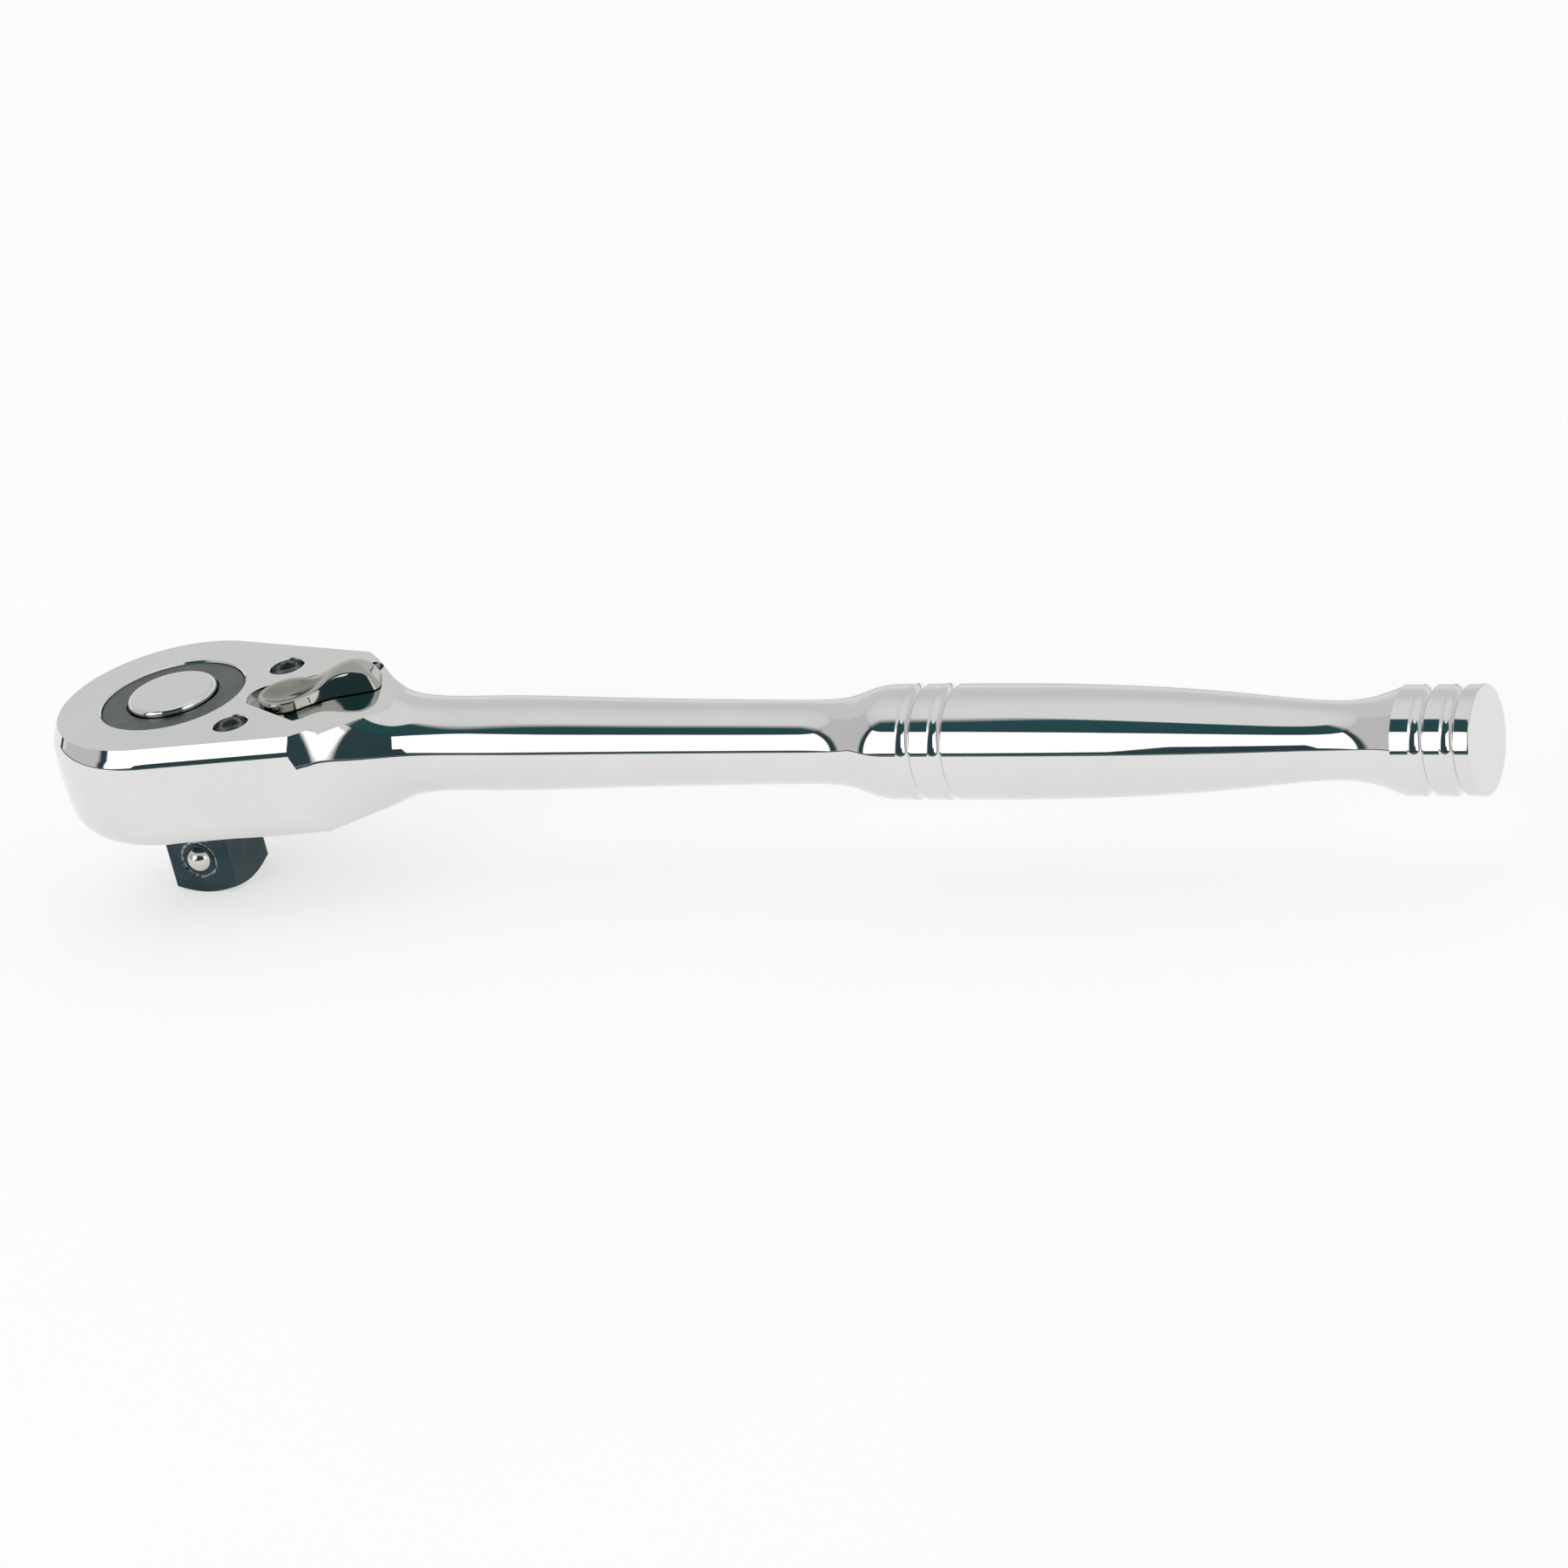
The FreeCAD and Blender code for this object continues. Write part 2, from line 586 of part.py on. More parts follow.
def lever_retaining_ring():
    """Open spring clip in the spindle's groove, under the roof of the pawl's chamber."""
    clip = ring(2.53, 3.9, 6.5, 6.0, PIVOT_X)
    mouth = block(PIVOT_X + 1, PIVOT_X + 6, -1.6, 1.6, deep(7), deep(5.5))
    return clip.cut(mouth)


def pawl():
    """Rocker on the spindle's front half, with a toothed dog at each end of its face."""
    low, high = deep(PAWL_BOTTOM_D), deep(PAWL_TOP_D)
    dog_from = 3.15
    shape = block(10.4, PIVOT_X + 0.2, -PAWL_HALF, PAWL_HALF, low, high)
    for side in (-1, 1):
        relief = disc(GEAR_TIP_R + 0.18, PAWL_BOTTOM_D + 1, PAWL_TOP_D - 1)
        if side > 0:
            keep = block(0, 20, dog_from, 20, 0, TOP_Z)
        else:
            keep = block(0, 20, -20, -dog_from, 0, TOP_Z)
        cutter = relief.cut(keep).fuse(gear_teeth(0.06, PAWL_BOTTOM_D + 1, PAWL_TOP_D - 1))
        shape = shape.cut(turn_about_pivot(cutter, -side * PAWL_SWING / 2))
    shape = shape.cut([
        disc(SPINDLE_R + FIT, PAWL_BOTTOM_D + 1, PAWL_TOP_D - 1, PIVOT_X),
        disc(PLUNGER_TIP + 0.1, PLUNGER_D + 1.3, PLUNGER_D - 1.3, PIVOT_X),
    ])
    return turn_about_pivot(shape, -PAWL_SWING / 2)


PARTS = (
    body, retaining_plate, plate_screws, drive_gear, gear_seal_ring, hub_seal_ring, upper_thrust_washer,
    lower_thrust_washer, release_button, button_retaining_ring, release_pin, release_spring, detent_ball,
    reverse_lever, lever_spindle, lever_plunger, plunger_spring, lever_seal_ring, lever_retaining_ring, pawl,
)

os.makedirs("parts", exist_ok=True)
for make in PARTS:
    piece = make()
    print(make.__name__, piece.isValid(), len(piece.Solids), round(piece.Volume, 2))
    piece.exportStep(os.path.join("parts", make.__name__ + ".step"))
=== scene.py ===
import bmesh
import bpy
import json
import math
import numpy as np
from mathutils import Matrix, Vector


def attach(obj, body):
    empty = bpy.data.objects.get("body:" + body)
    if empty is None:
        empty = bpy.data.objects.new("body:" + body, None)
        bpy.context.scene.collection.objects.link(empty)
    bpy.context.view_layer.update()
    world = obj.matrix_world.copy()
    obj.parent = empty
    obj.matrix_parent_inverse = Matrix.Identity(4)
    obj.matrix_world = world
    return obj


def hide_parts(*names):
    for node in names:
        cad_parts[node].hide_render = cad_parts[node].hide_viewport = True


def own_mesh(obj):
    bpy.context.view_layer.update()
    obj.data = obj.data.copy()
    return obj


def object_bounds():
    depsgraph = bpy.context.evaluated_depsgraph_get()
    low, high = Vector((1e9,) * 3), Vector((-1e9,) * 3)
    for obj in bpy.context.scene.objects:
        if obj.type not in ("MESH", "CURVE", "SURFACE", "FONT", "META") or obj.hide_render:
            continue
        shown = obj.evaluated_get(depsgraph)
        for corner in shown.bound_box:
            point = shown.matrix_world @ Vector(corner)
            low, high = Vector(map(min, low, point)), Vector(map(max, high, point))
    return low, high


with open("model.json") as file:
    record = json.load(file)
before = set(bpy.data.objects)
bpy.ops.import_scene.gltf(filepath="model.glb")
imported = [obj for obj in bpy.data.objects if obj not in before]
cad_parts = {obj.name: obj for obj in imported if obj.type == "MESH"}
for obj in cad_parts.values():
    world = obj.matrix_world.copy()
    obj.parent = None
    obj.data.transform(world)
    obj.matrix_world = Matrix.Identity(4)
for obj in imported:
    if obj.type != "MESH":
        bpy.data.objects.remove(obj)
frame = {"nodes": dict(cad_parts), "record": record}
CAD_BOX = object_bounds()
NODES = frame["nodes"]

# A ratchet wrench on a pale floor. The materials come first, then the forging and the lever, whose meshes
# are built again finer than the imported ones, then the springs, and last the studio.

MM = 0.001

# Camera: where it looks from and how it is turned, in degrees, millimetres and lens millimetres
VIEW_AZ = 29.504
VIEW_EL = 25.231
VIEW_ROLL = -13.519
VIEW_DISTANCE = 760.54
VIEW_AIM = Vector((88.534, 0.0, 14.159)) * MM
LENS = 135.75
SENSOR = 36.0

# Floor and key light, in metres, with the light's power in watts
FLOOR_GLOW = 0.56
FLOOR_RADIUS = 0.62
FLOOR_SIDES = 96
KEY_SPOT = Vector((-0.5, -0.7, 1.1))
KEY_SIZE = 0.9
KEY_POWER = 2.0

# The forging, in millimetres in the shared frame. A depth is measured down from the top face.
TOP = 27.7
HEAD_T = 15.6
HANDLE_Z = TOP - 7.4
LENGTH = 185.0
TAPER = math.radians(9.5)           # each side of the head turns in by this angle
SHOULDER_X = 24.3                   # the turned neck starts to trim the head
NECK_START_R = 14.3
NECK_END_X = 42.0                   # the neck has left the head's outline well before this
TOP_R = 16.0                        # top face, about the drive axis
CHAMFER_R = 17.22                   # foot of the top chamfer
CHAMFER_D = 3.0
FOOT_R = 17.12                      # where the bottom edge starts to turn in
BOTTOM_ROUND = 4.7
GRIP_R = 7.4
SHANK_R = 5.45                      # thinnest part of the shank, where the grip's collar starts
WAIST_R = 4.95                      # thinnest part of the grip
KNOB_R = 6.85
GRIP_GROOVE = 0.4                   # depth of the round grooves
KNOB_GROOVE = 0.42
DECK_D = 0.9                        # milled flat behind the lever
DECK_RAMP_X = 26.4
DECK_START_X = 27.8
DECK_END_X = 34.9
HEEL_X = 24.7                       # the underside steps up to the neck behind this
HEEL_RAMP_X = 26.6
HEEL_D = 14.8
CUT_HALF = 25                       # cutters that cross the head reach this far to each side
HUB_BORE_R = 9.95
HUB_BORE_EDGE = 0.22
CAVITY_R = 12.3
CAVITY_TOP_D = 3.2
PLATE_D = 13.4                      # top of the retaining plate's seat
PIVOT_X = 18.0
SPINDLE_HOLE_R = 3.06
CHAMBER_HALF = 6.45
CHAMBER_START_X = 8
CHAMBER_END_X = 22.6
CHAMBER_TOP_D = 5.9
SCREW_X = 13.5
SCREW_Y = 8.2
SCREW_WELL_R = 2.35
SCREW_WELL_D = 5.2
SCREW_WELL_EDGE = 0.14
SCREW_HOLE_R = 1.35
RECESS_EDGE = 0.12                  # edge break of the lever's recess
SEAT_CLEAR = 0.03                   # between the retaining plate and its seat
OVER = 0.1                          # a cutter reaches this far past a face that it meets

# How finely the forging is divided
LATHE_STEPS = 160
NOSE_STEPS = 150
HOLE_STEPS = 128
JOIN_GAP = 2e-4                     # points of the head and the shank closer than this are one
SHARP = math.radians(17)            # edges bent by more than this stay crisp

# The drive square's ball, in millimetres in the shared frame
BALL_Z = 5.0
BURR_R = 2.62                       # ring of burrs struck round the ball
BURR_FACE_Y = -4.5                  # only the square's near face has them


# Node helpers

def new_material(name):
    """An empty material with a Principled shader on its output."""
    mat = bpy.data.materials.new(name)
    mat.use_nodes = True
    tree = mat.node_tree
    tree.nodes.clear()
    out = tree.nodes.new("ShaderNodeOutputMaterial")
    shader = tree.nodes.new("ShaderNodeBsdfPrincipled")
    tree.links.new(shader.outputs[0], out.inputs[0])
    return mat, tree, shader


def place(tree):
    """Coordinates in metres in the shared frame at rest, which move with the piece."""
    return tree.nodes.new("ShaderNodeTexCoord").outputs["Object"]


def stretched(tree, vector, scale):
    """The vector scaled along each axis."""
    node = tree.nodes.new("ShaderNodeMapping")
    node.inputs["Scale"].default_value = scale
    tree.links.new(vector, node.inputs["Vector"])
    return node.outputs[0]


def noise(tree, vector, scale, detail=3.0, rough=0.5):
    """Soft noise, mostly between 0.3 and 0.7."""
    node = tree.nodes.new("ShaderNodeTexNoise")
    node.inputs["Scale"].default_value = scale
    node.inputs["Detail"].default_value = detail
    node.inputs["Roughness"].default_value = rough
    tree.links.new(vector, node.inputs["Vector"])
    return node.outputs["Fac"]


def spread(tree, value, from_low, from_high, to_low, to_high):
    """Maps one range of a value on to another, held at the ends."""
    node = tree.nodes.new("ShaderNodeMapRange")
    node.inputs["From Min"].default_value = from_low
    node.inputs["From Max"].default_value = from_high
    node.inputs["To Min"].default_value = to_low
    node.inputs["To Max"].default_value = to_high
    tree.links.new(value, node.inputs["Value"])
    return node.outputs[0]


def maths(tree, operation, a, b=0.0):
    """One step of arithmetic on numbers or sockets."""
    node = tree.nodes.new("ShaderNodeMath")
    node.operation = operation
    for socket, value in zip(node.inputs, (a, b)):
        if isinstance(value, (int, float)):
            socket.default_value = value
        else:
            tree.links.new(value, socket)
    return node.outputs[0]


def blend_colour(tree, factor, low, high):
    """Colour that goes from low to high as the factor goes from 0 to 1."""
    node = tree.nodes.new("ShaderNodeMix")
    node.data_type = "RGBA"
    tree.links.new(factor, node.inputs["Factor"])
    for socket, value in ((node.inputs["A"], low), (node.inputs["B"], high)):
        if isinstance(value, tuple):
            socket.default_value = (*value, 1.0)
        else:
            tree.links.new(value, socket)
    return node.outputs["Result"]


def bump(tree, height, strength, distance, after=None):
    """Normal bent by a height, on top of an earlier bump if there is one."""
    node = tree.nodes.new("ShaderNodeBump")
    node.inputs["Strength"].default_value = strength
    node.inputs["Distance"].default_value = distance
    tree.links.new(height, node.inputs["Height"])
    if after is not None:
        tree.links.new(after, node.inputs["Normal"])
    return node.outputs[0]


def parts_of(tree, vector):
    """The vector's x, y and z."""
    node = tree.nodes.new("ShaderNodeSeparateXYZ")
    tree.links.new(vector, node.inputs[0])
    return node.outputs


def distance(tree, a, b):
    """Length of a flat vector with the parts a and b."""
    squares = maths(tree, "ADD", maths(tree, "MULTIPLY", a, a), maths(tree, "MULTIPLY", b, b))
    return maths(tree, "SQRT", squares)


# Materials

def metal(name, low, high, rough, grain, grain_height):
    """Solid metal: colour drifts between two tones, roughness varies, and fine marks run along X."""
    mat, tree, shader = new_material(name)
    here = place(tree)
    cloud = noise(tree, here, 160.0)
    streak = noise(tree, stretched(tree, here, (900.0, 9000.0, 9000.0)), 1.0, 2.0)
    shader.inputs["Metallic"].default_value = 1.0
    tone = blend_colour(tree, spread(tree, cloud, 0.35, 0.65, 0.0, 1.0), low, high)
    tree.links.new(tone, shader.inputs["Base Color"])
    rough_drift = spread(tree, cloud, 0.3, 0.7, rough * 0.8, rough * 1.25)
    rough_marks = spread(tree, streak, 0.5, 0.8, 0.0, rough * grain)
    tree.links.new(maths(tree, "ADD", rough_drift, rough_marks), shader.inputs["Roughness"])
    tree.links.new(bump(tree, streak, 0.25, grain_height * MM), shader.inputs["Normal"])
    return mat


def recess_painted_shade(tree, here):
    """1 where shade is painted: the floor of the lever's recess, close round the lever's hub."""
    x, y, z = parts_of(tree, here)
    away = distance(tree, maths(tree, "SUBTRACT", x, PIVOT_X * MM), y)
    near = spread(tree, away, 5.0 * MM, 6.2 * MM, 1.0, 0.0)
    sunk = spread(tree, z, (TOP - 0.25) * MM, (TOP - 0.5) * MM, 0.0, 0.85)
    return maths(tree, "MULTIPLY", near, sunk)


def chrome_plate(name, low, high, rough, paint_recess_shade=False):
    """Polished plating with faint haze, hairline marks and a soft ripple; the last flag paints shade on the
    recess floor round the lever's hub.
    """
    mat, tree, shader = new_material(name)
    here = place(tree)
    haze = noise(tree, here, 70.0, 4.0, 0.6)
    hair = noise(tree, stretched(tree, here, (350.0, 7000.0, 7000.0)), 1.0, 2.0)
    ripple = noise(tree, here, 210.0, 1.0)
    shader.inputs["Metallic"].default_value = 1.0
    tone = blend_colour(tree, spread(tree, haze, 0.35, 0.7, 0.0, 1.0), low, high)
    # painted shade: the floor of the lever's recess round the hub is darkened towards a dark grey
    if paint_recess_shade:
        tone = blend_colour(tree, recess_painted_shade(tree, here), tone, (0.20, 0.225, 0.215))
    tree.links.new(tone, shader.inputs["Base Color"])
    drift = spread(tree, haze, 0.35, 0.75, rough * 0.7, rough * 1.6)
    marks = spread(tree, hair, 0.62, 0.78, 0.0, rough * 0.9)
    tree.links.new(maths(tree, "ADD", drift, marks), shader.inputs["Roughness"])
    fine = bump(tree, hair, 0.10, 0.0015 * MM)
    tree.links.new(bump(tree, ripple, 0.16, 0.010 * MM, fine), shader.inputs["Normal"])
    return mat


def black_oxide():
    """Phosphated steel, near black on the square, dark grey on the ground hub, with a little bright wear."""
    mat, tree, shader = new_material("black_oxide")
    here = place(tree)
    grain = noise(tree, here, 2600.0, 4.0, 0.65)
    cloud = noise(tree, here, 260.0)
    marks = noise(tree, stretched(tree, here, (500.0, 500.0, 9000.0)), 1.0, 2.0)
    shader.inputs["Metallic"].default_value = 1.0
    x, y, z = parts_of(tree, here)
    upper = spread(tree, z, 13.0 * MM, 20.0 * MM, 0.0, 1.0)
    drift = spread(tree, cloud, 0.35, 0.65, 0.0, 1.0)
    square = blend_colour(tree, drift, (0.030, 0.052, 0.060), (0.045, 0.073, 0.082))
    hub = blend_colour(tree, drift, (0.105, 0.128, 0.125), (0.132, 0.155, 0.15))
    base = blend_colour(tree, upper, square, hub)
    worn = blend_colour(tree, spread(tree, marks, 0.66, 0.8, 0.0, 0.25), base, (0.30, 0.33, 0.34))
    # bright burrs in the ring struck round the ball
    from_ball = distance(tree, x, maths(tree, "SUBTRACT", z, BALL_Z * MM))
    off = maths(tree, "ABSOLUTE", maths(tree, "SUBTRACT", from_ball, BURR_R * MM))
    ring = spread(tree, off, 0.10 * MM, 0.22 * MM, 1.0, 0.0)
    face = spread(tree, y, BURR_FACE_Y * MM, (BURR_FACE_Y - 0.1) * MM, 0.0, 1.0)
    dots = spread(tree, noise(tree, here, 2100.0, 1.0), 0.42, 0.55, 0.0, 0.8)
    burr = maths(tree, "MULTIPLY", maths(tree, "MULTIPLY", ring, face), dots)
    worn = blend_colour(tree, burr, worn, (0.42, 0.44, 0.44))
    tree.links.new(worn, shader.inputs["Base Color"])
    tree.links.new(spread(tree, grain, 0.3, 0.7, 0.3, 0.48), shader.inputs["Roughness"])
    first = bump(tree, grain, 0.25, 0.004 * MM)
    tree.links.new(bump(tree, marks, 0.2, 0.004 * MM, first), shader.inputs["Normal"])
    return mat


def oiled_steel():
    """Blackened screw steel with a mottled oil film, so that it is only partly mirror-like."""
    mat, tree, shader = new_material("dark_steel")
    here = place(tree)
    mottle = spread(tree, noise(tree, here, 1500.0, 3.0, 0.6), 0.38, 0.62, 0.0, 1.0)
    tone = blend_colour(tree, mottle, (0.095, 0.13, 0.13), (0.30, 0.34, 0.33))
    tree.links.new(tone, shader.inputs["Base Color"])
    shader.inputs["Metallic"].default_value = 0.35
    tree.links.new(spread(tree, mottle, 0.0, 1.0, 0.55, 0.32), shader.inputs["Roughness"])
    tree.links.new(bump(tree, mottle, 0.3, 0.02 * MM), shader.inputs["Normal"])
    return mat


def rubber():
    """Matte black seal rubber."""
    mat, tree, shader = new_material("rubber")
    here = place(tree)
    grain = noise(tree, here, 3000.0, 4.0, 0.6)
    tone = blend_colour(tree, grain, (0.012, 0.012, 0.013), (0.03, 0.03, 0.032))
    tree.links.new(tone, shader.inputs["Base Color"])
    tree.links.new(spread(tree, grain, 0.3, 0.7, 0.5, 0.7), shader.inputs["Roughness"])
    tree.links.new(bump(tree, grain, 0.3, 0.01 * MM), shader.inputs["Normal"])
    return mat


def floor_material():
    """Plain pale studio floor that keeps only a soft shadow."""
    mat, tree, shader = new_material("studio_floor")
    here = place(tree)
    cloud = noise(tree, here, 9.0)
    tone = blend_colour(tree, cloud, (0.54, 0.54, 0.54), (0.56, 0.56, 0.56))
    tree.links.new(tone, shader.inputs["Base Color"])
    shader.inputs["Roughness"].default_value = 0.9
    shader.inputs["Specular IOR Level"].default_value = 0.0
    shader.inputs["Emission Color"].default_value = (1.0, 1.0, 1.0, 1.0)
    shader.inputs["Emission Strength"].default_value = FLOOR_GLOW
    return mat


MATERIALS = {
    "chrome": chrome_plate("chrome", (0.735, 0.735, 0.73), (0.765, 0.765, 0.76), 0.03, True),
    "nickel_lever": chrome_plate("nickel_lever", (0.39, 0.395, 0.36), (0.48, 0.485, 0.45), 0.09),
    # the dish's copy of the lever's nickel is darker: painted shade for the dish's hollow
    "nickel_dish_painted_shade": chrome_plate("nickel_dish_painted_shade", (0.24, 0.25, 0.215), (0.38, 0.38, 0.335), 0.16),
    "black_oxide": black_oxide(),
    "dark_steel": oiled_steel(),
    "bright_steel": metal("bright_steel", (0.60, 0.585, 0.55), (0.70, 0.685, 0.65), 0.10, 0.4, 0.002),
    "spring_steel": metal("spring_steel", (0.36, 0.36, 0.37), (0.46, 0.46, 0.47), 0.22, 0.5, 0.003),
    "washer_steel": metal("washer_steel", (0.42, 0.42, 0.42), (0.52, 0.52, 0.52), 0.3, 0.6, 0.004),
    "pawl_steel": metal("pawl_steel", (0.22, 0.22, 0.23), (0.32, 0.32, 0.33), 0.3, 0.6, 0.004),
    "rubber": rubber(),
}


for row in frame["record"]["subparts"]:
    mesh = NODES[row["node"]].data
    mesh.materials.clear()
    mesh.materials.append(MATERIALS[row["material_slot"]])


# The forging's mesh: its curved faces are even and fine, so that the plating reflects cleanly

def arc_points(a, b, c, steps):
    """Points on the arc from a through b to c, both ends included."""
    (ax, ay), (bx, by), (cx, cy) = a, b, c
    d = 2 * (ax * (by - cy) + bx * (cy - ay) + cx * (ay - by))
    aa, bb, cc = ax * ax + ay * ay, bx * bx + by * by, cx * cx + cy * cy
    mx = (aa * (by - cy) + bb * (cy - ay) + cc * (ay - by)) / d
    my = (aa * (cx - bx) + bb * (ax - cx) + cc * (bx - ax)) / d
    radius = math.hypot(ax - mx, ay - my)
    start = math.atan2(ay - my, ax - mx)
    end = math.atan2(cy - my, cx - mx)
    turn = (end - start) % (2 * math.pi)
    if (math.atan2(by - my, bx - mx) - start) % (2 * math.pi) > turn:
        turn -= 2 * math.pi
    angles = [start + turn * k / steps for k in range(steps + 1)]
    return [(mx + radius * math.cos(t), my + radius * math.sin(t)) for t in angles]


def bezier_points(a, b, c, d, steps):
    """Points on the cubic curve from a to d, both ends included."""
    out = []
    for k in range(steps + 1):
        t = k / steps
        u = 1 - t
        weights = (u * u * u, 3 * u * u * t, 3 * u * t * t, t * t * t)
        out.append(tuple(sum(w * p[i] for w, p in zip(weights, (a, b, c, d))) for i in (0, 1)))
    return out


def spline_points(points, start, end, steps):
    """Smooth curve through the points, with the given directions at its two ends."""
    p = np.array(points, float)
    h = np.linalg.norm(np.diff(p, axis=0), axis=1)
    n = len(p)
    rows = np.eye(n)
    right = np.zeros((n, 2))
    right[0] = np.array(start) / np.linalg.norm(start)
    right[-1] = np.array(end) / np.linalg.norm(end)
    for i in range(1, n - 1):
        rows[i, i - 1:i + 2] = (h[i], 2 * (h[i - 1] + h[i]), h[i - 1])
        right[i] = 3 * (h[i] * (p[i] - p[i - 1]) / h[i - 1] + h[i - 1] * (p[i + 1] - p[i]) / h[i])
    slope = np.linalg.solve(rows, right)
    out = [tuple(p[0])]
    for i in range(n - 1):
        third = h[i] / 3
        piece = bezier_points(p[i], p[i] + slope[i] * third, p[i + 1] - slope[i + 1] * third, p[i + 1], steps)
        out += piece[1:]
    return out


def handle_profile():
    """(x, radius about the handle's axis) from the shoulder to the end face."""
    neck = spline_points(
        [(SHOULDER_X, NECK_START_R), (26.6, 12.6), (28, 11.35), (30, 9.65), (32, 8.35), (34, 7.42), (36, 6.8),
         (38.5, 6.45), (48, 6.3), (65, 5.94), (80, 5.62), (95, SHANK_R)], (1, -0.7), (1, 0), 9)
    rest = [
        bezier_points((95, SHANK_R), (102.3, SHANK_R), (102, GRIP_R), (107, GRIP_R), 28),
        arc_points((109.1, GRIP_R), (110.1, GRIP_R - GRIP_GROOVE), (111.1, GRIP_R), 12),
        arc_points((113.5, GRIP_R), (114.5, GRIP_R - GRIP_GROOVE), (115.5, GRIP_R), 12),
        bezier_points((118, GRIP_R), (150, GRIP_R), (158, WAIST_R), (166, WAIST_R), 60),
        bezier_points((166, WAIST_R), (170, WAIST_R), (172, 5.85), (174.9, KNOB_R), 20),
        arc_points((177.2, KNOB_R), (178.2, KNOB_R - KNOB_GROOVE), (179.2, KNOB_R), 12),
        arc_points((181.2, KNOB_R), (182.15, KNOB_R - KNOB_GROOVE), (183.1, KNOB_R), 12),
        arc_points((LENGTH - 0.25, KNOB_R), (LENGTH - 0.07, 6.79), (LENGTH, 6.67), 6),
    ]
    out = list(neck)
    for run in rest:
        out += run if math.dist(run[0], out[-1]) > 1e-6 else run[1:]
    return out


def head_wall():
    """(radius, depth) from the top face's rim down to the flat of the bottom face."""
    turn_r, turn_d = 12.42, 10.9    # centre of the bottom edge's round
    chamfer = [(TOP_R, 0)] + arc_points((16.69, 1.2), (17.06, 2.07), (CHAMFER_R, CHAMFER_D), 12)
    wall = arc_points((CHAMFER_R, CHAMFER_D), (17.32, 6.2), (FOOT_R, turn_d), 14)
    angles = [math.pi / 2 * k / 18 for k in range(1, 19)]
    turn = [(turn_r + BOTTOM_ROUND * math.cos(t), turn_d + BOTTOM_ROUND * math.sin(t)) for t in angles]
    return chamfer + wall[1:] + turn


def solid(name, rings, caps=True):
    """Mesh skinned over closed rings of equal length, with a flat face on each end if caps is true."""
    count = len(rings[0])
    points = [point for one in rings for point in one]
    faces = []
    for i in range(len(rings) - 1):
        for k in range(count):
            n = (k + 1) % count
            faces.append((i * count + k, i * count + n, (i + 1) * count + n, (i + 1) * count + k))
    if caps:
        faces.append(tuple(range(count)))
        faces.append(tuple(range(len(points) - count, len(points))))
    return outward(name, points, faces)


def outward(name, points, faces):
    """Object with all its faces turned to the outside."""
    mesh = bpy.data.meshes.new(name)
    mesh.from_pydata(points, [], faces)
    work = bmesh.new()
    work.from_mesh(mesh)
    bmesh.ops.recalc_face_normals(work, faces=work.faces)
    work.to_mesh(mesh)
    work.free()
    made = bpy.data.objects.new(name, mesh)
    bpy.context.scene.collection.objects.link(made)
    return made


def lathe(name, profile):
    """Turns (x, radius) about the handle's axis."""
    rings = []
    for x, radius in profile:
        angles = [2 * math.pi * k / LATHE_STEPS for k in range(LATHE_STEPS)]
        rings.append([(x, -radius * math.sin(t), HANDLE_Z + radius * math.cos(t)) for t in angles])
    return solid(name, rings)


def head_solid(name, end_x):
    """The head's outline, a round nose and tapering sides, run on to a flat end at end_x."""
    wall = head_wall()
    stations = []
    for side in (1, -1):
        row = []
        for share in (1.0, 0.75, 0.5, 0.25, 0.08):      # of the way from the nose to end_x
            ring = []
            for radius, depth in wall:
                x0, y0 = radius * math.sin(TAPER), radius * math.cos(TAPER)
                x = x0 + (end_x - x0) * share
                ring.append((x, side * (y0 - (x - x0) * math.tan(TAPER)), TOP - depth))
            row.append(ring)
        stations.append(row)
    nose = []
    sweep = math.pi + 2 * TAPER
    for k in range(NOSE_STEPS + 1):
        angle = math.pi / 2 - TAPER + sweep * k / NOSE_STEPS
        nose.append([(r * math.cos(angle), r * math.sin(angle), TOP - d) for r, d in wall])
    rows = stations[0] + nose + stations[1][::-1]
    count = len(wall)
    points = [point for row in rows for point in row]
    faces = []
    for i in range(len(rows) - 1):
        for k in range(count - 1):
            a = i * count + k
            faces.append((a, a + 1, a + count + 1, a + count))
    last = (len(rows) - 1) * count
    faces.append(tuple(i * count for i in range(len(rows))))
    faces.append(tuple(i * count + count - 1 for i in range(len(rows))))
    faces.append(tuple(range(count)) + tuple(last + count - 1 - k for k in range(count)))
    return outward(name, points, faces)


def tower(name, x, y, *levels):
    """Round solid on an upright axis through (depth, radius) levels."""
    rings = []
    for depth, radius in levels:
        angles = [2 * math.pi * k / HOLE_STEPS for k in range(HOLE_STEPS)]
        rings.append([(x + radius * math.cos(t), y + radius * math.sin(t), TOP - depth) for t in angles])
    return solid(name, rings)


def fan_outline(grow):
    """Outline of the lever's recess in the top face: round apex, straight sides out past the deck."""
    apex_x, radius, half, steps = 15.3, 3.3 + grow, math.radians(27), 32
    out = []
    for k in range(steps + 1):
        angle = math.pi / 2 + half + (math.pi - 2 * half) * k / steps
        out.append((apex_x + radius * math.cos(angle), radius * math.sin(angle)))
    far = 31.0
    x, y = out[-1]
    far_y = y - (far - x) * math.tan(half)
    return out + [(far, far_y), (far, -far_y)]


def plate_outline(grow):
    """Pear-shaped outline of the retaining plate's seat."""
    big, small, small_x = 13.6 + grow, 10.0 + grow, 14.5
    big_steps, small_steps = 64, 48
    lean = math.asin((big - small) / small_x)
    out = []
    for k in range(big_steps + 1):
        angle = math.pi / 2 - lean + (math.pi + 2 * lean) * k / big_steps
        out.append((big * math.cos(angle), big * math.sin(angle)))
    for k in range(small_steps + 1):
        angle = lean - math.pi / 2 + (math.pi - 2 * lean) * k / small_steps
        out.append((small_x + small * math.cos(angle), small * math.sin(angle)))
    return out


